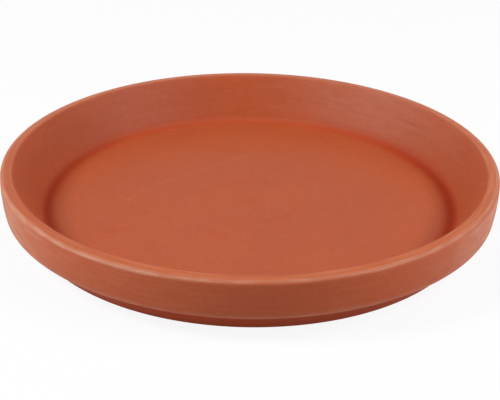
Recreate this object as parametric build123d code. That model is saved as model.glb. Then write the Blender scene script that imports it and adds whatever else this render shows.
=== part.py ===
from build123d import *
from math import cos, radians, sin, tan
import os

# Plant saucer of unglazed fired clay, pressed in one piece.
# It stands on the plane of X and Y with its centre on Z, which points up.
# Its outline is drawn once, as radius and height on the plane of X and Z, and turned about Z.
# All lengths are in millimetres and all angles are in degrees.

# Overall size
rim_diameter = 300.0  # across the widest ring, where the band meets the rim
overall_height = 38.0  # from the ground to the top of the rim

# Rim, which slopes down towards the outside
rim_width = 7.1  # from the widest ring in to the rim's inner edge
rim_fall_angle = 7.0
rim_outer_rounding = 2.0
rim_inner_rounding = 0.8

# Band round the outside, upright at the widest ring and drawn in below it
band_height = 21.6  # from the widest ring down to the ledge
band_draw_in = 2.2  # how far in the lower edge lies from the widest ring
band_lower_rounding = 3.5

# Ledge under the band, which falls towards the foot
ledge_width = 10.0
ledge_fall_angle = 20.0
ledge_rounding = 3.0  # hollow corner where the ledge meets the foot

# Foot, which leans in from the ledge to the ground
foot_radius = 132.6  # where it would meet the ground if its edge were sharp
foot_bevel = 1.2

# Underside, hollowed a little so that the saucer stands on a ring
standing_ring_width = 15.0
recess_depth = 1.2
recess_edge_width = 2.4

# Inside
floor_thickness = 10.2  # from the ground up to the floor that the pot stands on
wall_lean_angle = 30.0  # how far the inner wall leans out as it rises
floor_rounding = 6.0  # hollow corner where the floor meets the wall

# Directions that the rim and the inner wall face, turned up from straight out
rim_facing = 90 - rim_fall_angle
wall_facing = 180 - wall_lean_angle


def corner_rise(rounding, facing, next_facing):
    """How far the sharp corner of two faces stands above the centre of its rounding."""
    middle = radians(facing + next_facing) / 2
    half_turn = radians(next_facing - facing) / 2
    return rounding * sin(middle) / cos(half_turn)


# Corners of the outline, as radius and height, from the rim inwards and round to the band
rim_radius = rim_diameter / 2
rim_inner_radius = rim_radius - rim_width
rim_inner_height = (
    overall_height - rim_inner_rounding + corner_rise(rim_inner_rounding, rim_facing, wall_facing)
)
rim_outer_height = rim_inner_height - rim_width * tan(radians(rim_fall_angle))
widest_height = rim_outer_height - corner_rise(rim_outer_rounding, 0, rim_facing)
wall_depth = rim_inner_height - floor_thickness
floor_radius = rim_inner_radius - wall_depth * tan(radians(wall_lean_angle))
ledge_outer_radius = rim_radius - band_draw_in
ledge_outer_height = widest_height - band_height
ledge_inner_radius = ledge_outer_radius - ledge_width
ledge_inner_height = ledge_outer_height - ledge_width * tan(radians(ledge_fall_angle))
recess_outer_radius = foot_radius - standing_ring_width
recess_inner_radius = recess_outer_radius - recess_edge_width

widest_point = (rim_radius, widest_height)
rim_start = (
    rim_radius - rim_outer_rounding + rim_outer_rounding * cos(radians(rim_facing)),
    widest_height + rim_outer_rounding * sin(radians(rim_facing)),
)
rim_inner_corner = (rim_inner_radius, rim_inner_height)
floor_corner = (floor_radius, floor_thickness)
floor_centre = (0, floor_thickness)
underside_centre = (0, recess_depth)
recess_inner_corner = (recess_inner_radius, recess_depth)
recess_outer_corner = (recess_outer_radius, 0)
foot_corner = (foot_radius, 0)
ledge_inner_corner = (ledge_inner_radius, ledge_inner_height)
ledge_outer_corner = (ledge_outer_radius, ledge_outer_height)

corner_roundings = [
    (rim_inner_corner, rim_inner_rounding),
    (floor_corner, floor_rounding),
    (ledge_inner_corner, ledge_rounding),
    (ledge_outer_corner, band_lower_rounding),
]


def draw_outline():
    """Draws the half section: the rounded outer rim, the straight faces, then the curved band."""
    TangentArc(widest_point, rim_start, tangent=(0, 1))
    Polyline(
        rim_start,
        rim_inner_corner,
        floor_corner,
        floor_centre,
        underside_centre,
        recess_inner_corner,
        recess_outer_corner,
        foot_corner,
        ledge_inner_corner,
        ledge_outer_corner,
    )
    TangentArc(widest_point, ledge_outer_corner, tangent=(0, -1))


def half_section():
    """The filled half section, with its corners rounded and the edge of the foot bevelled."""
    with BuildSketch() as section:
        with BuildLine():
            draw_outline()
        make_face()
        for corner, rounding in corner_roundings:
            nearest = section.vertices().sort_by_distance(corner)[0]
            fillet(nearest, radius=rounding)
        chamfer(section.vertices().sort_by_distance(foot_corner)[0], length=foot_bevel)
    return Plane.XZ * section.sketch


def saucer():
    """The whole saucer, one solid of clay."""
    return revolve(half_section(), axis=Axis.Z)


os.makedirs("parts", exist_ok=True)
export_step(saucer(), "parts/saucer.step")
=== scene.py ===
"""An unglazed terracotta plant saucer and a plain studio to show it in, made round its frame."""

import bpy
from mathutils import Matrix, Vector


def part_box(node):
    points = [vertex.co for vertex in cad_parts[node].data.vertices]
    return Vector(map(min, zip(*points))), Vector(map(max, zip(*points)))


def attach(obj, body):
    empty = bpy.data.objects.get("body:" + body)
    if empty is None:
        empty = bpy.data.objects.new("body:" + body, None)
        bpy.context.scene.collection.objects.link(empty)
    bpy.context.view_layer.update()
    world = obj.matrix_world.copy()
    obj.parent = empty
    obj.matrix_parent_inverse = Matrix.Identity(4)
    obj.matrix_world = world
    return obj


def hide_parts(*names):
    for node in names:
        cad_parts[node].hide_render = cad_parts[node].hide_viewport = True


bl_info = {
    "name": "Terracotta Plant Saucer",
    "version": (1, 0, 0),
    "blender": (4, 5, 0),
    "location": "View3D > Sidebar > Saucer",
    "description": "Makes a pressed terracotta plant saucer and a plain studio round it",
    "category": "Add Mesh",
}

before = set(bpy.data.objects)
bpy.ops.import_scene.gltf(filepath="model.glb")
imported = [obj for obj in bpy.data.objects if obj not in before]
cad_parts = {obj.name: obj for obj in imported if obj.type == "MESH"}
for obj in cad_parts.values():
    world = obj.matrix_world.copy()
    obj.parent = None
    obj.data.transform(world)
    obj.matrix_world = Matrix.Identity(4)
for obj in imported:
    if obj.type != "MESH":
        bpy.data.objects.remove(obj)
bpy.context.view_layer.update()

import bpy
import numpy as np
from bpy.props import FloatProperty, FloatVectorProperty, IntProperty, PointerProperty
from bpy.types import Operator, Panel, PropertyGroup
from mathutils import Matrix, Vector

NODE_LOW, NODE_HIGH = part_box("saucer")
RIM_RADIUS = (NODE_HIGH.x - NODE_LOW.x) / 2
OVERALL_HEIGHT = NODE_HIGH.z - NODE_LOW.z
UP, DOWN = np.pi / 2, -np.pi / 2

# Mesh: the fewest parts of an arc, and how close two points count as one, in metres
FEWEST_PARTS = 7
TOUCHING = 1e-6

# Places in the list of the section's arcs: the floor's corner, and the first arc under the band
FLOOR_ARC = 0
LEDGE_ARC = 5

# Spans of the wheel marks in metres, and how often they may wander in and out in one whole turn,
# from the first number up to just under the second
FLOOR_SPANS = (0.0061, 0.0087, 0.0131, 0.0193)
WALL_SPANS = (0.0034, 0.0049, 0.0077)
RECESS_SPANS = (0.0147, 0.0213, 0.0310)
WANDERS = (1, 4)

# Most waves round the axis in the rim's outline, and in its height
OUTLINE_WAVES = 9
HEIGHT_WAVES = 6

# Patches on one side, each as the turn of its middle in degrees and its width, which is that of a
# hump over the cosine of the turn from there: the side where the painted highlights are strongest,
# the painted sheen on the wall, and the painted shade on the band's end and on the rim above it
LIT_SIDE = (222, 0.2)
SHEENED_WALL = (48, 0.2)
SHADED_BAND_END = (183, 0.06)
SHADED_RIM_END = (200, 0.2)

# Dust and a painted glint on edges: the radius of an edge that counts as sharp, in metres; the
# paleness on a sharp edge that faces sideways, and the painted highlight that one that faces up
# adds; the share of it that is left inside the rim; and the dust on the rim's top, on the ring that
# the saucer stands on and in the recess
SHARP_RADIUS = 0.002
SHARP_EDGE_DUST_AND_GLINT, FACING_UP_HIGHLIGHT = 0.40, 0.6
INNER_EDGE_SHARE = 0.3
RIM_TOP_DUST = 0.05
STANDING_RING_DUST = 0.5
RECESS_DUST = 0.2

# The painted highlight along the rim's outer edge, each as its value all round and what the lit
# side
# adds: how far up the clay faces in the line's middle, the line's width in the same terms, and its
# strength
OUTER_LINE_FACING = (0.88, -0.33)
OUTER_LINE_WIDTH = (0.36, 0.19)
OUTER_HIGHLIGHT_STRENGTH = (0.97, 0.6)

# The pale line on the band's lower edge: its rise above the ledge and its width, in metres, and how
# much more of it there is at the two sides
LOWER_LINE_RISE = 0.001
LOWER_LINE_WIDTH = 0.0015
LOWER_LINE_SIDES = 0.8

# Painted sheen on the band beside its two ends, where it is seen at a grazing angle: the sine of
# the turn in the patches' middle, their width in it, how much more the right end has, their
# strength, and how much more lies in front. Then the painted sheen that the band has on the lit
# side
BAND_PATCH_SINE = 0.41
BAND_PATCH_WIDTH = 0.22
BAND_PATCH_RIGHT = 0.15
BAND_SHEEN = 0.75
BAND_PATCH_FRONT = 0.6
BAND_SIDE_SHEEN = 0.11

# Painted sheen on one side of the wall: how far up from the floor it fades in, in metres, and how
# far in the clay has to face
WALL_SHEEN_RISE = 0.008
WALL_FACING = 0.3

# How far up the clay faces on the rim's top
RIM_FACING = 0.97

# Painted shade in the floor's corner: how far along the corner's arc its middle lies, and how much
# more of it there is on the right. Then the share of the middle spot's darkness that its ring has
CORNER_SHADE_ON_ARC = 0.3
CORNER_SHADE_RIGHT = 0.1
RING_SHARE = 0.6

# How noise, and the distance from a speck of grit, are stretched for the clay, each as the two
# levels between which they count and, where these aren't 0 and 1, the two results
PATCHES = (0.3, 0.7)
PALE_STREAKS = (0.35, 0.75, 0.0, 0.12)
PALE_MOTTLE = (0.35, 0.75, 0.0, 0.05)
PORE_GRAIN = (0.45, 0.75)
PORE_MOTTLE = (0.3, 0.7, 0.4, 0.9)
GRIT_SPECK = (0.08, 0.16, 0.18, 0.0)
GRIT_CHANCE = (0.6, 0.9)
RIM_STREAKS = (0.35, 0.65)
RIM_TINT_SHARES = (0.55, 1.45)
SCUFF_GRAIN = (0.35, 0.65, 0.3, 1.0)
DUST_SMEARS = (0.3, 0.7, 0.3, 0.7)
DUST_STREAKS = (0.3, 0.7, 0.8, 1.2)
ROUGH_GRAIN = (0.2, 0.8)

# The rest of the clay: the detail and the roughness of its noise, the roughness of that of the
# patches, and the detail of that of the streaks; the most dust and painted highlight; the heights
# in metres over which marks from above fade in, so that none shows on the underside; and how far
# the grain changes the clay's roughness, and how much the painted corner shade, the middle marks
# and the stains add to it
NOISE_DETAIL = 3.0
NOISE_ROUGHNESS = 0.6
PATCH_ROUGHNESS = 0.55
STREAK_DETAIL = 2.0
MOST_DUST_AND_SHEEN = 0.8
UPPER_SIDE = (0.005, 0.008)
GRAIN_ROUGHNESS = 0.06
SHADE_AND_STAIN_ROUGHNESS = 0.35

# Sockets of a node that mixes colours
MIX_FIRST, MIX_SECOND, MIX_RESULT = 6, 7, 2

# Pale marks as seen from above, each as x, y, turn in degrees, half its length, half its width and
# its strength, all lengths in metres: one long curved scuff across the floor in four parts, a short
# one, a nick by the wall's foot, and a rubbed stretch of the rim's inner edge
SCUFFS = (
    (-0.0882, -0.0176, 57.7, 0.0195, 0.0024, 0.035),
    (-0.0691, 0.0083, 50.0, 0.0235, 0.0026, 0.065),
    (-0.0443, 0.0339, 42.0, 0.0240, 0.0028, 0.11),
    (-0.0143, 0.0583, 36.5, 0.0277, 0.0028, 0.10),
    (-0.076, -0.053, 60, 0.009, 0.0014, 0.10),
    (-0.0535, 0.1088, 0, 0.0028, 0.0008, 0.5),
    (0.1408, -0.0268, 102, 0.016, 0.0012, 0.25),
)

# Small darker stains on the floor, written the same way
STAINS = (
    (-0.0201, -0.0430, -34.1, 0.0130, 0.0060, 0.14),
    (-0.0786, -0.0418, 16.5, 0.0108, 0.0060, 0.11),
    (-0.0670, -0.0137, -51.7, 0.0110, 0.0050, 0.12),
)

# Soft lights, each as name, turn from the front and rise in degrees, distance, width and height in
# metres, and power in watts. Then the camera's sensor in millimetres, and plain white
LIGHTS = (
    ("softbox_left", -75, 43, 1.6, 0.5, 0.40, 17.0),
    ("softbox_left_back", -95, 38, 1.6, 0.5, 0.22, 1.3),
    ("low_left", -90, 14, 1.6, 0.5, 0.22, 1.3),
    ("softbox_right", 75, 43, 1.6, 0.5, 0.40, 8.0),
    ("softbox_right_back", 95, 42, 1.6, 0.5, 0.40, 4.8),
    ("softbox_right_front", 55, 38, 1.6, 0.5, 0.22, 3.6),
    ("strip_left", -60, 3, 0.8, 0.35, 0.06, 1.0),
    ("strip_right", 90, 3, 0.8, 0.35, 0.06, 0.65),
    ("strip_right_front", 60, 3, 0.8, 0.35, 0.06, 0.72),
    ("strip_front", 0, 1.5, 0.8, 0.35, 0.03, 0.35),
    ("softbox_back", 180, 25, 1.6, 0.9, 0.50, 0.6),
)
SENSOR_WIDTH = 36.0
WHITE = (1.0, 1.0, 1.0)


def length(name, description, default):
    """A length in metres."""
    return FloatProperty(
        name=name, description=description, default=default, unit="LENGTH", precision=5
    )


def angle(name, description, degrees):
    """An angle, written here in degrees and kept in radians."""
    default = np.radians(degrees)
    return FloatProperty(name=name, description=description, default=default, unit="ROTATION")


def number(name, description, default):
    """A plain number."""
    return FloatProperty(name=name, description=description, default=default, precision=4)


def count(name, description, default):
    """A whole number."""
    return IntProperty(name=name, description=description, default=default, min=0)


def colour(name, description, default):
    """A linear colour."""
    return FloatVectorProperty(
        name=name, description=description, default=default, size=3, subtype="COLOR", min=0, max=1
    )


class SaucerShape(PropertyGroup):
    """The saucer's section, and how finely it is cut."""

    rim_radius: length("Rim radius", "From the axis to the widest ring", RIM_RADIUS)
    overall_height: length("Height", "From the ground to the top of the rim", OVERALL_HEIGHT)
    rim_width: length("Rim width", "From the widest ring in to the rim's inner edge", 0.0071)
    rim_fall: angle("Rim fall", "How far the rim slopes down towards the outside", 7)
    rim_outer_rounding: length("Rim outer rounding", "Where the rim meets the band", 0.0022)
    rim_inner_rounding: length("Rim inner rounding", "Where the rim meets the wall", 0.0012)
    band_height: length("Band height", "From the widest ring down to the ledge", 0.0210)
    band_draw_in: length("Band draw-in", "How far in the band's lower edge lies", 0.0022)
    band_lower_rounding: length("Band lower rounding", "The lower edge of the band", 0.0035)
    ledge_width: length("Ledge width", "From the band's lower edge in to the foot", 0.010)
    ledge_fall: angle("Ledge fall", "How far the ledge falls towards the foot", 20)
    ledge_rounding: length("Ledge rounding", "Hollow corner of ledge and foot", 0.003)
    foot_radius: length("Foot radius", "Of the foot at the ground", 0.1326)
    foot_rounding: length("Foot rounding", "The worn lower edge of the foot", 0.0016)
    standing_ring_width: length("Standing ring", "Width of the ring it stands on", 0.015)
    recess_depth: length("Recess depth", "How deep the underside is hollowed", 0.0012)
    recess_edge_width: length("Recess edge", "Width of the slope round the hollow", 0.0024)
    recess_rounding: length("Recess rounding", "Both corners of that slope", 0.0012)
    floor_thickness: length("Floor thickness", "From the ground up to the floor", 0.0102)
    wall_lean: angle("Wall lean", "How far the inner wall leans out as it rises", 30)
    floor_rounding: length("Floor rounding", "Hollow corner of floor and wall", 0.006)
    step: length("Surface step", "Distance between the rings of the mesh", 0.0011)
    hidden_step: length("Hidden step", "The same under the ledge", 0.0035)
    turns: count("Segments", "Segments round the axis", 320)


class ClaySurface(PropertyGroup):
    """What pressing, turning, firing and use left on the clay, and the painted highlights, sheen
    and shade on it.
    """

    seed: count("Seed", "Picks the unevenness", 7)
    out_of_round: length("Out of round", "How far the rim strays in from a circle", 0.00015)
    warp: length("Warp", "How far the rim dips below its full height", 0.00012)
    floor_marks: length("Floor marks", "Depth of the wheel marks on the floor", 0.00004)
    floor_mark_fade: length("Floor mark fade", "Height over the floor where they fade", 0.0010)
    wall_marks: length("Wall marks", "Depth of the wheel marks on wall and band", 0.00006)
    recess_marks: length("Recess marks", "Depth of the marks on the underside", 0.00025)
    mark_drift: number("Mark drift", "How far the marks wander, in radians", 0.9)
    tool_line_depth: length("Tool line depth", "Of the fine line under the rim", 0.00010)
    tool_line_width: length("Tool line width", "Of the fine line under the rim", 0.0006)
    tool_line_drop: length("Tool line drop", "From the widest ring down to the line", 0.0016)
    middle_mark_radius: length("Middle mark", "Radius of the pressed mark in the middle", 0.0075)
    middle_mark_depth: length("Middle mark depth", "Depth of the pressed mark", 0.00020)
    middle_ring_radius: length("Middle ring", "Radius of the dark ring round that mark", 0.029)
    middle_ring_width: length("Middle ring width", "Half the width of the dark ring", 0.0026)
    middle_shade: number("Middle shade", "How much darker clay the middle shows", 0.13)
    floor_streaks: number("Floor streaks", "How plainly fine streaks show on the floor", 0.18)
    side_streaks: number("Side streaks", "The same on the wall and the outside", 0.5)
    rim_streaks: number("Rim streaks", "How much more plainly they show on the rim", 0.4)
    dust_depth: length("Dust depth", "How far down from the top the rim's dust reaches", 0.0012)
    # Paler line on the band's lower edge, stronger at the two sides
    lower_edge_paleness: number("Lower edge dust", "On the lower edge of the band", 0.30)
    # Painted sheen on the band beside its two ends
    band_sheen: number("Band dust", "On the band, beside its two ends", 0.87)
    # Painted sheen on one side of the wall
    wall_sheen: number("Wall dust", "On one side of the wall", 0.26)
    # Painted shade on one end of the band and on the rim above it
    band_painted_shade: number("Band shade", "How much darker clay one end of the band shows", 0.8)
    rim_painted_shade: number("Rim shade", "The same on the rim above it", 0.45)
    # Painted shade in the floor's hollow corner and on the ledge and the foot
    corner_shade_width: length("Grime width", "Reach of the darker clay beside the corner", 0.0046)
    corner_shade_shift: length("Grime shift", "How much further in it lies at the two sides", 0.0020)
    corner_shade_thinning: number("Grime thinning", "How much thinner it is in front and behind", 0.76)
    foot_shade: number("Foot grime", "How much of it lies on the ledge and the foot", 0.42)


class ClayFinish(PropertyGroup):
    """Colours and fine texture of the fired clay."""

    clay: colour("Clay", "Main colour of the fired clay", (0.467, 0.0790, 0.0165))
    dark_clay: colour("Dark clay", "Redder patches", (0.44, 0.0735, 0.0165))
    # Also the colour of the painted shade on one end of the band and the rim
    pore_and_shade: colour("Pores", "Darker clay between the grains", (0.40, 0.062, 0.014))
    # Also the colour of the painted highlights and sheen on edges, the band and the wall
    bloom_and_highlight: colour("Bloom", "Pale dusty film, thickest on worn edges", (0.57, 0.265, 0.165))
    rim_clay: colour("Rim clay", "Paler clay of the rim", (0.68, 0.21, 0.086))
    rim_tint: number("Rim tint", "Share of that colour on the rim", 0.3)
    grit: colour("Grit", "Pale grit in the clay", (0.70, 0.38, 0.26))
    # Colour of the painted shade in the floor's corner and on the ledge and foot, and of the middle
    # marks and the stains
    shade_and_stain: colour("Grime", "Darker clay in the floor's corner", (0.465, 0.024, 0.002))
    shade_and_stain_share: number("Grime share", "How thick the grime is in that corner", 0.63)
    patch_size: length("Patch size", "Size of the faint patches", 0.045)
    mottle_size: length("Mottle size", "Size of the fine mottling", 0.006)
    streak_width: length("Streak width", "Width of the fine streaks left by turning", 0.0010)
    streak_length: length("Streak length", "Length of the fine streaks", 0.026)
    streak_depth: length("Streak depth", "Depth of the fine streaks", 0.00002)
    smear_width: length("Smear width", "Width of the smears in the dust", 0.004)
    smear_length: length("Smear length", "Length of the smears in the dust", 0.014)
    grain_size: length("Grain size", "Size of the grain", 0.0009)
    grain_depth: length("Grain depth", "Height of the grain", 0.00009)
    grit_spacing: length("Grit spacing", "From one speck of grit to the next", 0.0022)
    roughness: number("Roughness", "Of the bare clay", 0.55)
    gloss: number("Gloss", "Specular level of the clay", 0.34)


class Studio(PropertyGroup):
    """Floor, lights and camera."""

    camera_distance: length("Camera distance", "From the middle of the rim", 0.8583)
    camera_rise: angle("Camera rise", "How far the camera looks down on the rim", 24.65)
    camera_roll: angle("Camera roll", "How far the camera leans", 0.85)
    camera_lens: number("Lens", "Focal length in millimetres, on a 36 mm sensor", 101.85)
    aim_side: length("Aim side", "How far right of the axis the camera aims", 0.0002)
    aim_height: length("Aim height", "Height at which the camera aims, on the axis", 0.0110)
    ring_height: length("Ring height", "Height of the ring that it stands off from", 0.0353)
    floor_width: length("Floor width", "Across the floor", 12.0)
    floor_colour: colour("Floor", "Colour that the floor casts back", (0.5, 0.5, 0.5))
    floor_glow: number("Floor glow", "Share of white that the camera sees in the floor", 0.9)
    gloss_glow: number("Gloss glow", "The same for what the clay's gloss shows", 0.75)
    light_level: number("Light level", "Share of the listed power of every light", 0.97)
    room_light: number("Room light", "Strength of the light from all round", 0.005)


def middle_and_half(facing, next_facing):
    """Halfway between two facing angles, and half of the turn from one to the other."""
    return (facing + next_facing) / 2, abs(next_facing - facing) / 2


def rounding(corner, facing, next_facing, radius, hollow=False):
    """The arc that rounds the corner of two straight faces, given by where they meet and face.

    It is written as its centre, radius, first and last angle. Its centre is on the line that halves
    the corner, radius / cos(half turn) from it: inside the clay, or outside where it is hollow.
    """
    middle, half = middle_and_half(facing, next_facing)
    away = radius / np.cos(half) * np.array([np.cos(middle), np.sin(middle)])
    if hollow:
        return np.array(corner) + away, radius, facing + np.pi, next_facing + np.pi
    return np.array(corner) - away, radius, facing, next_facing


def section_arcs(s):
    """The arcs of the section in order, from the floor's edge over the rim and round to the recess,
    each as its centre, radius, first and last angle."""
    rim_facing = UP - s.rim_fall
    wall_facing = np.pi - s.wall_lean
    middle, half = middle_and_half(rim_facing, wall_facing)
    sharp_edge_rise = s.rim_inner_rounding * (np.sin(middle) / np.cos(half) - 1)
    rim_inner = np.array([s.rim_radius - s.rim_width, s.overall_height + sharp_edge_rise])
    rim_outer = np.array([s.rim_radius, rim_inner[1] - s.rim_width * np.tan(s.rim_fall)])
    widest_height = rim_outer[1] - s.rim_outer_rounding * np.tan(rim_facing / 2)
    floor_radius = rim_inner[0] - (rim_inner[1] - s.floor_thickness) * np.tan(s.wall_lean)
    floor_corner = (floor_radius, s.floor_thickness)

    # The band is an arc, upright at the widest ring, that ends at the ledge's sharp outer corner
    band_radius = (s.band_draw_in**2 + s.band_height**2) / (2 * s.band_draw_in)
    band_centre = np.array([s.rim_radius - band_radius, widest_height])
    ledge_outer = np.array([s.rim_radius - s.band_draw_in, widest_height - s.band_height])
    ledge_facing = DOWN + s.ledge_fall

    # Its lower rounding touches the ledge, and the band from inside
    ledge_normal = np.array([np.cos(ledge_facing), np.sin(ledge_facing)])
    inwards = np.array([ledge_normal[1], -ledge_normal[0]])
    start = ledge_outer - s.band_lower_rounding * ledge_normal - band_centre
    reach = band_radius - s.band_lower_rounding
    slide = -start @ inwards - np.sqrt((start @ inwards) ** 2 - start @ start + reach**2)
    lower_centre = start + slide * inwards
    lower_facing = np.arctan2(lower_centre[1], lower_centre[0])

    ledge_inner = ledge_outer - s.ledge_width * np.array([1, np.tan(s.ledge_fall)])
    foot_facing = -np.arctan2(ledge_inner[0] - s.foot_radius, ledge_inner[1])
    recess_outer = s.foot_radius - s.standing_ring_width
    recess_corner = (recess_outer - s.recess_edge_width, s.recess_depth)
    recess_facing = DOWN - np.arctan2(s.recess_depth, s.recess_edge_width)
    return [
        rounding(floor_corner, UP, wall_facing, s.floor_rounding, hollow=True),
        rounding(rim_inner, wall_facing, rim_facing, s.rim_inner_rounding),
        rounding(rim_outer, rim_facing, 0, s.rim_outer_rounding),
        (band_centre, band_radius, 0, lower_facing),
        (band_centre + lower_centre, s.band_lower_rounding, lower_facing, ledge_facing),
        rounding(ledge_inner, ledge_facing, foot_facing, s.ledge_rounding, hollow=True),
        rounding((s.foot_radius, 0), foot_facing, DOWN, s.foot_rounding),
        rounding((recess_outer, 0), DOWN, recess_facing, s.recess_rounding),
        rounding(recess_corner, recess_facing, DOWN, s.recess_rounding, hollow=True),
    ]


def run_points(start, end, step):
    """Points of a straight run at about one step, its far end left out."""
    parts = max(int(np.ceil(np.linalg.norm(end - start) / step)), 1)
    return start + (end - start) * np.linspace(0, 1, parts, endpoint=False)[:, None]


def arc_points(arc, step):
    """Points of an arc at about one step, or closer where the arc is small."""
    centre, radius, first, last = arc
    parts = max(int(np.ceil(radius * abs(last - first) / step)), FEWEST_PARTS)
    angles = np.linspace(first, last, parts + 1)
    return centre + radius * np.stack([np.cos(angles), np.sin(angles)], axis=1)


def section(s):
    """The section as points (radius, height), from the floor's middle to the underside's.

    Straight runs join the arcs of section_arcs, cut into steps, which are wider past the ledge.
    """
    here = np.array([0.0, s.floor_thickness])
    chain = []
    for place, arc in enumerate(section_arcs(s)):
        points = arc_points(arc, s.step)
        if np.linalg.norm(points[0] - here) > TOUCHING:
            step = s.step if place < LEDGE_ARC else s.hidden_step
            chain.append(run_points(here, points[0], step))
        chain.append(points[:-1])
        here = points[-1]
    middle = np.array([0.0, s.recess_depth])
    chain.append(run_points(here, middle, s.hidden_step))
    return np.concatenate(chain + [middle[None]])


def facing_of(path):
    """Unit vectors square to the section and out of the clay, from the points on either side."""
    along = np.gradient(path, axis=0)
    along /= np.linalg.norm(along, axis=1)[:, None]
    facing = np.stack([-along[:, 1], along[:, 0]], axis=1)
    facing[0], facing[-1] = (0, 1), (0, -1)
    return facing


def way_along(path):
    """How far each point of the section lies along it: the sum of the steps up to it."""
    steps = np.linalg.norm(np.diff(path, axis=0), axis=1)
    return np.concatenate([[0], np.cumsum(steps)])


def sharpness(path, facing):
    """How sharply the section turns outwards at each point, from 0 to 1: the turn of its facing
    over its way, which is one over a radius, times the radius of an edge that counts as sharp."""
    angles = np.unwrap(np.arctan2(facing[:, 1], facing[:, 0]))
    steps = np.linalg.norm(np.gradient(path, axis=0), axis=1)
    return np.clip(-np.gradient(angles) / steps * SHARP_RADIUS, 0, 1)


def hump(x, middle, width):
    """A smooth hump, exp(-((x - middle) / width)^2)."""
    return np.exp(-(((x - middle) / width) ** 2))


class Profile:
    """The points of the section as columns, one row for each: its radius and height, its way along,
    how far it faces outwards and up, and whether it lies on a part of the saucer."""

    def __init__(self, s, c):
        path = section(s)
        facing = facing_of(path)
        widest = np.argmax(path[:, 0])
        self.radius, self.height = path[:, :1], path[:, 1:]
        self.outwards, self.upwards = facing[:, :1], facing[:, 1:]
        self.along = way_along(path)[:, None]
        self.sharp = sharpness(path, facing)[:, None]
        self.widest_height = path[widest, 1]
        self.ledge_height = self.widest_height - s.band_height

        self.inside = (np.arange(len(path)) < widest)[:, None]
        self.outside = ~self.inside
        self.floor = self.inside * hump(self.height, s.floor_thickness, c.floor_mark_fade)
        self.near_top = self.height > s.overall_height - c.dust_depth
        self.rim = self.near_top & (self.upwards > RIM_FACING)
        self.outer_edge = self.inside & (self.radius > s.rim_radius - s.rim_outer_rounding)
        self.above_ledge = self.height > self.ledge_height
        self.recess = self.outside & (np.abs(self.height - s.recess_depth) < TOUCHING)


def ripples(rng, along, turn, spans, drift):
    """Uneven ripples between -1 and 0: the mean of sines of the way along, one for each span, whose
    crests wander a little with the sine of a few whole turns, halved and lowered by a half."""
    total = np.zeros(np.broadcast(along, turn).shape)
    for span in spans:
        wander = drift * np.sin(rng.integers(*WANDERS) * turn + rng.uniform(0, 2 * np.pi))
        total += np.sin(2 * np.pi * along / span + rng.uniform(0, 2 * np.pi) + wander)
    return (total / len(spans) - 1) / 2


def slow_turn(rng, turn, most):
    """A smooth closed curve round the axis between -1 and 0: the sum of cos(k turn + lag) / k, from
    two waves up to the most, stretched to that span."""
    total = np.zeros_like(turn)
    for k in range(2, most + 1):
        total += np.cos(k * turn + rng.uniform(0, 2 * np.pi)) / k
    return (total - total.max()) / np.ptp(total)


def relief(c, rng, at, turn):
    """How far the clay stands out of the plain section, at each point of it and each turn.

    Wheel marks ripple the floor, the wall, the band and the recess, a tool left a fine line under
    the rim, and the floor has a small pressed mark in its middle. All of it is cut in, so it is
    never above 0 and nothing grows past the section.
    """
    floor = at.floor
    walls = at.above_ledge * (1 - floor)
    out = c.floor_marks * floor * ripples(rng, at.along, turn, FLOOR_SPANS, c.mark_drift)
    out += c.wall_marks * walls * ripples(rng, at.along, turn, WALL_SPANS, c.mark_drift)
    line_height = at.widest_height - c.tool_line_drop
    out -= c.tool_line_depth * at.outside * hump(at.height, line_height, c.tool_line_width)
    out -= c.middle_mark_depth * floor * hump(at.radius, 0, c.middle_mark_radius)
    out += c.recess_marks * at.recess * ripples(rng, at.along, turn, RECESS_SPANS, c.mark_drift)
    return out


def saucer_points(s, c, at, turn):
    """The saucer's surface as a grid of points, section point by turn.

    The section is carried round Z as (radius cos turn, radius sin turn, height). Each point is
    first moved square to the section by the relief, whose mean the two poles take. Then its radius
    and its height shrink by two slow curves of the turn, both more the further out and up it is,
    as clay warps when it dries.
    """
    rng = np.random.default_rng(c.seed)
    out = relief(c, rng, at, turn)
    out[[0, -1]] = out[[0, -1]].mean(axis=1, keepdims=True)
    far = (at.radius / s.rim_radius) * (at.height / s.overall_height)
    radius = at.radius + at.outwards * out
    radius = radius + c.out_of_round * far * slow_turn(rng, turn, OUTLINE_WAVES)
    height = at.height + at.upwards * out
    height = height + c.warp * far * slow_turn(rng, turn, HEIGHT_WAVES)
    return np.stack([radius * np.cos(turn), radius * np.sin(turn), height], axis=-1)


def one_side(turn, middle, width):
    """A patch on one side: a hump over the cosine of the turn from its middle, in degrees."""
    return hump(np.cos(turn - np.radians(middle)), 1, width)


def with_side(value, side):
    """A value all round the saucer, and what a patch on one side adds to it."""
    return value[0] + value[1] * side


def edge_dust_and_glint(s, at):
    """Dust on worn edges with a painted glint: it grows with how sharply the section turns
    outwards, and the painted highlight with how far it faces up. Inside the rim there is less of
    it, and the rim's outer edge has a painted highlight of its own instead. Dust lies evenly on the
    rim's top, on the ring that the saucer stands on and in the recess."""
    rim_top = at.near_top & (at.upwards > np.cos(s.wall_lean))
    inner = at.inside & ~at.outer_edge & ~rim_top
    # Paleness on sharp edges: dust, with a painted glint that grows as the edge faces up
    dust = at.sharp * (SHARP_EDGE_DUST_AND_GLINT + FACING_UP_HIGHLIGHT * at.upwards)
    dust = np.where(rim_top, RIM_TOP_DUST, dust)
    dust = np.where(inner, INNER_EDGE_SHARE * dust, np.where(at.outer_edge, 0, dust))
    return dust + STANDING_RING_DUST * (at.height < TOUCHING) + RECESS_DUST * at.recess


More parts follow.
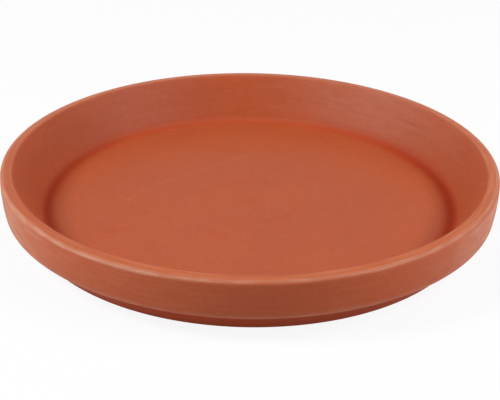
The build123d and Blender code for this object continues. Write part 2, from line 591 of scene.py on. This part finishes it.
def painted_rim_highlight(at, side):
    """The painted highlight along the rim's outer edge: a hump over how far the clay faces up,
    which is stronger, broader and lower on the lit side."""
    facing = with_side(OUTER_LINE_FACING, side)
    line = at.outer_edge * hump(at.upwards, facing, with_side(OUTER_LINE_WIDTH, side))
    return line * with_side(OUTER_HIGHLIGHT_STRENGTH, side)


def lower_line(at, turn):
    """The pale line on the band's lower edge: a hump over the height, stronger at the two sides by
    the square of the cosine of the turn."""
    line = at.outside * hump(at.height, at.ledge_height + LOWER_LINE_RISE, LOWER_LINE_WIDTH)
    return line * (1 + LOWER_LINE_SIDES * np.cos(turn) ** 2)


def painted_band_sheen(at, turn, side):
    """Painted sheen on the band where it is seen at a grazing angle: humps over the sine of the
    turn beside its two ends, which grow to the right with the cosine and to the front with the
    sine, and a little on the lit side."""
    right = 1 + BAND_PATCH_RIGHT * np.cos(turn)
    front = BAND_SHEEN - BAND_PATCH_FRONT * np.sin(turn)
    patches = right * front * hump(np.abs(np.sin(turn)), BAND_PATCH_SINE, BAND_PATCH_WIDTH)
    return (at.outside & at.above_ledge) * (patches + BAND_SIDE_SHEEN * side)


def painted_wall_sheen(s, at, turn):
    """Painted sheen on one side of the wall, less a hump over the height near the floor."""
    wall = at.inside & (at.outwards < -WALL_FACING)
    rise = 1 - hump(at.height, s.floor_thickness, WALL_SHEEN_RISE)
    return wall * rise * one_side(turn, *SHEENED_WALL)


def dust_and_painted_highlights(s, c, at, turn):
    """How much pale colour shows at each point of the section and each turn: the sum of dust with a
    painted glint on worn edges, the painted highlight on the rim's outer edge, the pale line on the
    band's lower edge, and the painted sheen on the band and on one side of the wall."""
    side = one_side(turn, *LIT_SIDE)
    dust_and_highlight = edge_dust_and_glint(s, at) + painted_rim_highlight(at, side)
    dust_and_highlight += c.lower_edge_paleness * lower_line(at, turn)
    dust_and_highlight += c.band_sheen * painted_band_sheen(at, turn, side)
    return dust_and_highlight + c.wall_sheen * painted_wall_sheen(s, at, turn)


def streak_share(c, at):
    """How plainly the fine pale streaks show: least on the floor, and most on the rim."""
    return c.side_streaks * (1 - at.floor) + c.floor_streaks * at.floor + c.rim_streaks * at.rim


def painted_shade_on_one_side(c, at, turn):
    """How much painted shade darkens one side of the outside, and further round on the rim: a hump
    over the cosine of the turn for each."""
    end = c.band_painted_shade * at.outside * one_side(turn, *SHADED_BAND_END)
    return end + c.rim_painted_shade * at.rim * one_side(turn, *SHADED_RIM_END)


def painted_shade_and_marks(s, c, at, turn):
    """Painted shade in the floor's hollow corner: a hump over the way along the section, thinned by
    the square of the sine of the turn and shifted by the fourth power of its cosine. The middle of
    the floor has a faint darker spot and a ring, both humps over the radius, and the ledge and the
    foot have an even coat of painted shade."""
    centre, radius, first, last = section_arcs(s)[FLOOR_ARC]
    thickest = centre[0] + CORNER_SHADE_ON_ARC * radius * abs(last - first)
    shifted = thickest - c.corner_shade_shift * np.cos(turn) ** 4
    share = 1 + CORNER_SHADE_RIGHT * np.cos(turn) - c.corner_shade_thinning * np.sin(turn) ** 2
    corner = hump(at.along, shifted, c.corner_shade_width) * share
    ring = RING_SHARE * hump(at.radius, c.middle_ring_radius, c.middle_ring_width)
    middle = at.inside * (hump(at.radius, 0, c.middle_mark_radius) + ring)
    under_band = at.outside & (at.height < at.ledge_height)
    foot = under_band & (at.radius > s.foot_radius - s.foot_rounding)
    return corner + c.middle_shade * middle + c.foot_shade * foot


def clay_tones(s, c, at, turn):
    """What the clay's material reads from the mesh: for each name a grid, or a column where the
    tone is the same all round."""
    return {
        "dust_and_highlight": dust_and_painted_highlights(s, c, at, turn),
        "streaky": streak_share(c, at),
        "rim": at.rim,
        "shade": painted_shade_on_one_side(c, at, turn),
        "shade_and_stain": painted_shade_and_marks(s, c, at, turn),
    }


def vertex_order(grid):
    """The values of a turned grid in the order of its mesh's vertices, each pole only once."""
    return np.concatenate([grid[:1, 0], grid[1:-1].reshape(-1, *grid.shape[2:]), grid[-1:, 0]])


def mesh_of_turned_grid(name, points):
    """A mesh of a grid that closes on itself round the axis and ends in one point at each pole."""
    rows, turns = points.shape[:2]
    vertices = vertex_order(points)
    start = 1 + turns * np.arange(rows - 2)[:, None]
    here = np.arange(turns)
    beside = np.roll(here, -1)
    ring, next_ring = start[:-1], start[1:]
    quads = np.stack([ring + here, next_ring + here, next_ring + beside, ring + beside], axis=-1)
    top = np.stack([np.zeros_like(here), start[0] + here, start[0] + beside], axis=-1)
    last = np.full_like(here, len(vertices) - 1)
    bottom = np.stack([start[-1] + here, last, start[-1] + beside], axis=-1)
    faces = quads.reshape(-1, 4).tolist() + top.tolist() + bottom.tolist()
    mesh = bpy.data.meshes.new(name)
    mesh.from_pydata(vertices, [], faces)
    mesh.validate()
    mesh.shade_smooth()
    return mesh


def set_point_attribute(mesh, name, grid):
    """Writes the values of a turned grid onto the vertices of its mesh."""
    values = vertex_order(grid).astype(np.float32)
    mesh.attributes.new(name, "FLOAT", "POINT").data.foreach_set("value", values)


class Nodes:
    """Adds nodes to a tree and links them, in the order in which a finish is built up."""

    def __init__(self, tree):
        self.tree = tree
        tree.nodes.clear()

    def add(self, kind, values=(), **settings):
        """A node of a kind with its settings, and a value or a link for each named input."""
        node = self.tree.nodes.new(kind)
        for key, value in settings.items():
            setattr(node, key, value)
        for key, value in dict(values).items():
            if isinstance(value, bpy.types.NodeSocket):
                self.tree.links.new(value, node.inputs[key])
            else:
                node.inputs[key].default_value = value
        return node

    def attribute(self, name):
        """What the mesh says under this name."""
        return self.add("ShaderNodeAttribute", attribute_name=name).outputs["Fac"]

    def math(self, operation, *values):
        """The result of one sum."""
        return self.add("ShaderNodeMath", dict(enumerate(values)), operation=operation).outputs[0]

    def noise(self, vector, size, roughness=NOISE_ROUGHNESS):
        """Noise whose features are about one size across, from 0 to 1 with its middle at a half."""
        values = {"Vector": vector, "Scale": 1 / size}
        values |= {"Detail": NOISE_DETAIL, "Roughness": roughness}
        return self.add("ShaderNodeTexNoise", values).outputs["Fac"]

    def spread(self, value, low, high, to_low=0.0, to_high=1.0):
        """Stretches low to high over another span, smoothly and held at its ends."""
        values = {"Value": value, "From Min": low, "From Max": high}
        values |= {"To Min": to_low, "To Max": to_high}
        return self.add("ShaderNodeMapRange", values, interpolation_type="SMOOTHSTEP").outputs[0]

    def mix(self, factor, first, second):
        """One colour laid over another."""
        values = {"Factor": factor, MIX_FIRST: first, MIX_SECOND: second}
        return self.add("ShaderNodeMix", values, data_type="RGBA").outputs[MIX_RESULT]

    def bump(self, height, distance, normal=None):
        """Tilts the surface as a height of that many metres would."""
        values = {"Height": height, "Distance": distance, "Strength": 1.0}
        if normal:
            values["Normal"] = normal
        return self.add("ShaderNodeBump", values).outputs[0]


def rgba(value):
    """A colour with full alpha."""
    return (*value, 1.0)


def turned_streaks(n, place, width, long):
    """Streaks round the axis: noise in four dimensions, of the direction from the axis, the radius
    and the height, stretched along the turn so that it has no seam."""
    flat = n.add("ShaderNodeVectorMath", {0: place, 1: (1, 1, 0)}, operation="MULTIPLY").outputs[0]
    radius = n.add("ShaderNodeVectorMath", {0: flat}, operation="LENGTH").outputs["Value"]
    way = n.add("ShaderNodeVectorMath", {0: flat}, operation="NORMALIZE").outputs[0]
    reach = {0: way, "Scale": RIM_RADIUS / long}
    round_axis = n.add("ShaderNodeVectorMath", reach, operation="SCALE").outputs[0]
    ring = n.add("ShaderNodeCombineXYZ", {2: n.math("DIVIDE", radius, width)}).outputs[0]
    vector = n.add("ShaderNodeVectorMath", {0: round_axis, 1: ring}, operation="ADD").outputs[0]
    height = n.add("ShaderNodeSeparateXYZ", {0: place}).outputs[2]
    values = {"Vector": vector, "W": n.math("DIVIDE", height, width)}
    values |= {"Scale": 1.0, "Detail": STREAK_DETAIL}
    return n.add("ShaderNodeTexNoise", values, noise_dimensions="4D").outputs["Fac"]


def stroke(n, place, mark):
    """A faint straight mark: its strength along its middle line, fading smoothly to 0 at its sides
    and over the outer half of each end."""
    x, y, turn, half_length, half_width, strength = mark
    values = {0: place, "Location": (x, y, 0), "Rotation": (0, 0, np.radians(turn))}
    local = n.add("ShaderNodeMapping", values, vector_type="TEXTURE").outputs[0]
    axes = n.add("ShaderNodeSeparateXYZ", {0: local}).outputs
    long, wide = n.math("ABSOLUTE", axes[0]), n.math("ABSOLUTE", axes[1])
    ends = n.spread(long, half_length / 2, half_length, strength, 0.0)
    return n.math("MULTIPLY", ends, n.spread(wide, 0, half_width, 1.0, 0.0))


def strokes(n, place, marks):
    """The sum of several marks."""
    total = 0.0
    for mark in marks:
        total = n.math("ADD", total, stroke(n, place, mark))
    return total


def bare_clay(n, f, place, streaks, grain):
    """The clay's own colour: patches of two close colours, pale streaks and mottling, darker pores
    between the grains, and specks of pale grit."""
    patches = n.noise(place, f.patch_size, PATCH_ROUGHNESS)
    mottle = n.noise(place, f.mottle_size)
    clay = n.mix(n.spread(patches, *PATCHES), rgba(f.clay), rgba(f.dark_clay))
    pale = n.math("MULTIPLY", n.spread(streaks, *PALE_STREAKS), n.attribute("streaky"))
    pale = n.math("ADD", n.spread(mottle, *PALE_MOTTLE), pale)
    clay = n.mix(pale, clay, rgba(f.bloom_and_highlight))
    pores = n.math("MULTIPLY", n.spread(grain, *PORE_GRAIN), n.spread(mottle, *PORE_MOTTLE))
    clay = n.mix(pores, clay, rgba(f.pore_and_shade))
    grit = n.add("ShaderNodeTexVoronoi", {"Vector": place, "Scale": 1 / f.grit_spacing}).outputs
    chance = n.add("ShaderNodeSeparateColor", {0: grit["Color"]}).outputs[0]
    speck = n.spread(grit["Distance"], *GRIT_SPECK)
    speck = n.math("MULTIPLY", speck, n.spread(chance, *GRIT_CHANCE))
    return n.mix(speck, clay, rgba(f.grit))


def clay_material(f):
    """Fired clay: its own colour, a paler streaked rim, painted shade at one end, pale dust on worn
    edges and in scuffs with painted highlights and sheen, painted shade in the corner and on the
    foot, darker stains, and a fine grain."""
    material = bpy.data.materials.new("terracotta")
    material.use_nodes = True
    n = Nodes(material.node_tree)
    place = n.add("ShaderNodeTexCoord").outputs["Object"]
    streaks = turned_streaks(n, place, f.streak_width, f.streak_length)
    smears = turned_streaks(n, place, f.smear_width, f.smear_length)
    grain = n.noise(place, f.grain_size)
    height = n.add("ShaderNodeSeparateXYZ", {0: place}).outputs[2]
    upper = n.spread(height, *UPPER_SIDE)

    clay = bare_clay(n, f, place, streaks, grain)
    tint = n.spread(streaks, *RIM_STREAKS, *(share * f.rim_tint for share in RIM_TINT_SHARES))
    clay = n.mix(n.math("MULTIPLY", n.attribute("rim"), tint), clay, rgba(f.rim_clay))
    # Painted shade on one end of the band and on the rim above it, in the pore colour
    clay = n.mix(n.attribute("shade"), clay, rgba(f.pore_and_shade))

    # Pale dust in scuffs and on worn edges, and painted highlights and sheen on edges, the band and
    # the wall
    grainy = n.math("MULTIPLY", upper, n.spread(grain, *SCUFF_GRAIN))
    scuffs = n.math("MULTIPLY", strokes(n, place, SCUFFS), grainy)
    uneven = n.math("MULTIPLY", n.spread(smears, *DUST_SMEARS), n.spread(streaks, *DUST_STREAKS))
    dust = n.math("ADD", scuffs, n.math("MULTIPLY", n.attribute("dust_and_highlight"), uneven))
    clay = n.mix(n.math("MINIMUM", dust, MOST_DUST_AND_SHEEN), clay, rgba(f.bloom_and_highlight))

    # Painted shade in the floor's corner and on the ledge and the foot, with the darker middle
    # marks and the stains; it also roughens the clay
    stains = n.math("MULTIPLY", upper, strokes(n, place, STAINS))
    shade_and_stain = n.math("ADD", n.attribute("shade_and_stain"), stains)
    clay = n.mix(n.math("MULTIPLY", shade_and_stain, f.shade_and_stain_share), clay, rgba(f.shade_and_stain))

    normal = n.bump(grain, f.grain_depth, n.bump(streaks, f.streak_depth))
    smoothest, roughest = f.roughness - GRAIN_ROUGHNESS, f.roughness + GRAIN_ROUGHNESS
    rough = n.spread(grain, *ROUGH_GRAIN, smoothest, roughest)
    rough = n.math("ADD", rough, n.math("MULTIPLY", shade_and_stain, SHADE_AND_STAIN_ROUGHNESS))
    values = {"Base Color": clay, "Roughness": rough, "Normal": normal}
    shader = n.add("ShaderNodeBsdfPrincipled", values)
    shader.inputs["Specular IOR Level"].default_value = f.gloss
    n.add("ShaderNodeOutputMaterial", {"Surface": shader.outputs[0]})
    return material


def link(data, name):
    """A new object in the scene, at the origin."""
    thing = bpy.data.objects.new(name, data)
    bpy.context.scene.collection.objects.link(thing)
    return thing


class SAUCER_OT_make_saucer(Operator):
    """Makes the saucer's surface and its clay in place of the plain solid"""

    bl_idname = "saucer.make_saucer"
    bl_label = "Make Saucer"

    def execute(self, context):
        shape = context.scene.saucer_shape
        surface = context.scene.saucer_surface
        profile = Profile(shape, surface)
        turn = np.linspace(0, 2 * np.pi, shape.turns, endpoint=False)[None, :]
        points = saucer_points(shape, surface, profile, turn)
        mesh = mesh_of_turned_grid("saucer_clay", points)
        for name, tone in clay_tones(shape, surface, profile, turn).items():
            set_point_attribute(mesh, name, np.broadcast_to(tone, points.shape[:2]))
        mesh.materials.append(clay_material(context.scene.saucer_finish))
        saucer = link(mesh, "saucer_clay")
        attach(saucer, "root")
        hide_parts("saucer")
        return {"FINISHED"}


def camera_place(v):
    """Where the camera stands and how it is turned, as a matrix.

    It stands off from the middle of the rim, looks at a point beside the axis and leans a little.
    """
    ring = Vector((0, 0, v.ring_height))
    away = Vector((0, -np.cos(v.camera_rise), np.sin(v.camera_rise)))
    place = ring + v.camera_distance * away
    forward = (Vector((v.aim_side, 0, v.aim_height)) - place).normalized()
    level = forward.cross(Vector((0, 0, 1))).normalized()
    upright = level.cross(forward)
    right = np.cos(v.camera_roll) * level + np.sin(v.camera_roll) * upright
    up = np.cos(v.camera_roll) * upright - np.sin(v.camera_roll) * level
    turned = Matrix((right, up, -forward)).transposed().to_4x4()
    turned.translation = place
    return turned


def add_camera(v):
    """The camera, without shift or blur."""
    camera = link(bpy.data.cameras.new("camera"), "camera")
    camera.data.lens = v.camera_lens
    camera.data.sensor_width = SENSOR_WIDTH
    camera.matrix_world = camera_place(v)
    bpy.context.scene.camera = camera


def add_light(v, name, turn, rise, distance, width, height, power):
    """A rectangular soft light that faces the saucer, a turn round from the front and a rise up."""
    light = bpy.data.lights.new(name, "AREA")
    light.shape = "RECTANGLE"
    light.size, light.size_y = width, height
    light.energy = power * v.light_level
    turn, rise = np.radians(turn), np.radians(rise)
    flat = distance * np.cos(rise)
    place = Vector((flat * np.sin(turn), -flat * np.cos(turn), distance * np.sin(rise)))
    lamp = link(light, name)
    lamp.location = place
    lamp.rotation_euler = (-place).to_track_quat("-Z", "Y").to_euler()


def seen_directly(n, rays):
    """1 for rays that show the backdrop itself: straight, in a gloss or through glass."""
    seen = n.math("MAXIMUM", rays["Is Camera Ray"], rays["Is Glossy Ray"])
    return n.math("MAXIMUM", seen, rays["Is Transmission Ray"])


def floor_material(v):
    """A pale floor that shows white and keeps the saucer's shadow."""
    material = bpy.data.materials.new("floor")
    material.use_nodes = True
    n = Nodes(material.node_tree)
    rays = n.add("ShaderNodeLightPath").outputs
    seen = seen_directly(n, rays)
    shade = n.mix(seen, rgba(v.floor_colour), rgba(WHITE))
    matt = n.add("ShaderNodeBsdfDiffuse", {"Color": shade}).outputs[0]
    white = n.add("ShaderNodeEmission", {"Color": rgba(WHITE), "Strength": 1.0}).outputs[0]
    glow = n.spread(rays["Is Camera Ray"], 0, 1, v.gloss_glow, v.floor_glow)
    values = {0: n.math("MULTIPLY", seen, glow), 1: matt, 2: white}
    mixed = n.add("ShaderNodeMixShader", values).outputs[0]
    n.add("ShaderNodeOutputMaterial", {"Surface": mixed})
    return material


def add_floor(v):
    """The floor, one wide square."""
    h = v.floor_width / 2
    mesh = bpy.data.meshes.new("floor")
    mesh.from_pydata([(-h, -h, 0), (h, -h, 0), (h, h, 0), (-h, h, 0)], [], [(0, 1, 2, 3)])
    mesh.materials.append(floor_material(v))
    link(mesh, "floor")


def add_world(v):
    """Faint light from all round, white where it is seen."""
    world = bpy.data.worlds.new("studio")
    bpy.context.scene.world = world
    world.use_nodes = True
    n = Nodes(world.node_tree)
    seen = seen_directly(n, n.add("ShaderNodeLightPath").outputs)
    strength = n.spread(seen, 0, 1, v.room_light, 1.0)
    backdrop = n.add("ShaderNodeBackground", {"Color": rgba(WHITE), "Strength": strength})
    n.add("ShaderNodeOutputWorld", {"Surface": backdrop.outputs[0]})


class SAUCER_OT_set_stage(Operator):
    """Sets the floor, the lights and the camera"""

    bl_idname = "saucer.set_stage"
    bl_label = "Set Stage"

    def execute(self, context):
        v = context.scene.saucer_studio
        context.scene.view_settings.view_transform = "Standard"
        add_floor(v)
        add_world(v)
        for light in LIGHTS:
            add_light(v, *light)
        add_camera(v)
        return {"FINISHED"}


class SAUCER_PT_panel(Panel):
    """Lists what the add-on makes"""

    bl_label = "Saucer"
    bl_idname = "SAUCER_PT_panel"
    bl_space_type = "VIEW_3D"
    bl_region_type = "UI"
    bl_category = "Saucer"

    def draw(self, context):
        for operator in OPERATORS:
            self.layout.operator(operator.bl_idname)
        for name, group in GROUPS.items():
            box = self.layout.box()
            for key in group.__annotations__:
                box.prop(getattr(context.scene, name), key)


GROUPS = {
    "saucer_shape": SaucerShape,
    "saucer_surface": ClaySurface,
    "saucer_finish": ClayFinish,
    "saucer_studio": Studio,
}
OPERATORS = (SAUCER_OT_make_saucer, SAUCER_OT_set_stage)


def register():
    """Registers every class and hangs the settings on the scene."""
    for item in (*GROUPS.values(), *OPERATORS, SAUCER_PT_panel):
        bpy.utils.register_class(item)
    for name, group in GROUPS.items():
        setattr(bpy.types.Scene, name, PointerProperty(type=group))


def unregister():
    """Takes all of that away again."""
    for name in GROUPS:
        delattr(bpy.types.Scene, name)
    for item in (SAUCER_PT_panel, *OPERATORS, *GROUPS.values()):
        bpy.utils.unregister_class(item)


def main():
    """Makes the saucer and its stage."""
    register()
    for operator in OPERATORS:
        group, name = operator.bl_idname.split(".")
        getattr(getattr(bpy.ops, group), name)()


if __name__ == "__main__":
    main()
